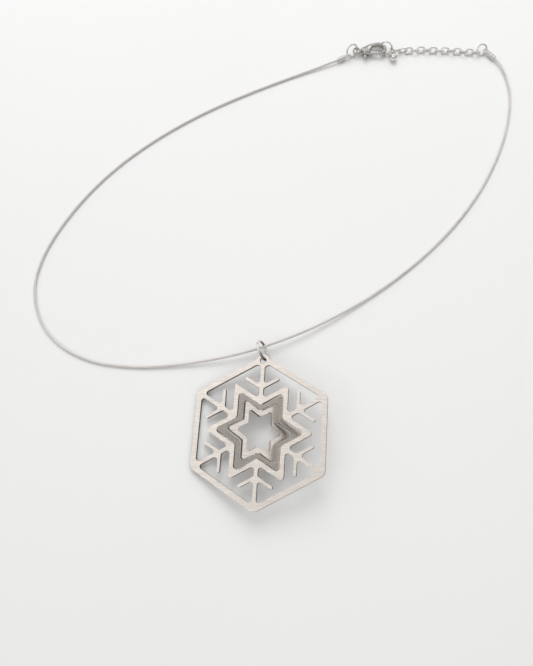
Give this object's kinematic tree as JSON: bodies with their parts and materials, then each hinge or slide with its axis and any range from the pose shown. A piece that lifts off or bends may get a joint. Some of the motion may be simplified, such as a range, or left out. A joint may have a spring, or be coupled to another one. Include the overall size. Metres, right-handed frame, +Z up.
{
  "type": "snowflake pendant necklace",
  "caption": "Hexagonal cut-out snowflake pendant with turned star rings, hanging by a jump ring on a fine steel neck wire with lobster clasp and extension chain, lying flat.",
  "frame": {"origin": "centre of the neck opening, on the surface that the necklace lies on", "axes": "+Z up, out of the surface; the pendant lies towards -Y and the clasp towards +Y; +X to the right as worn lying with the plate's brushed face up"},
  "size_m": [0.1579, 0.1684, 0.0087],
  "materials": {
    "plate_steel": "fine straight brushed grain on the faces, darker laser-cut edges",
    "fitting_steel": "polished, lightly handled",
    "cable_steel": "fine stranded cable, satin"
  },
  "bodies": {
    "necklace": {"snowflake": "plate_steel", "pendant_ring": "fitting_steel", "neck_wire": "cable_steel", "end_cap_left": "fitting_steel", "end_cap_right": "fitting_steel", "clasp_ring": "fitting_steel", "clasp_body": "fitting_steel", "drop_ring": "fitting_steel", "chain_drop": "fitting_steel", "extension_chain": "fitting_steel", "chain_ring": "fitting_steel"},
    "lever": {"clasp_lever": "fitting_steel"}
  },
  "joints": [
    {"name": "lever_hinge", "type": "hinge", "parent": "necklace", "child": "lever", "pos_m": [0.02651, 0.05934, 0.0015], "axis": [0, 0, 1], "range_deg": [0, 28], "stiffness_Nm_per_rad": 0.004, "springref_deg": -20.05}
  ]
}
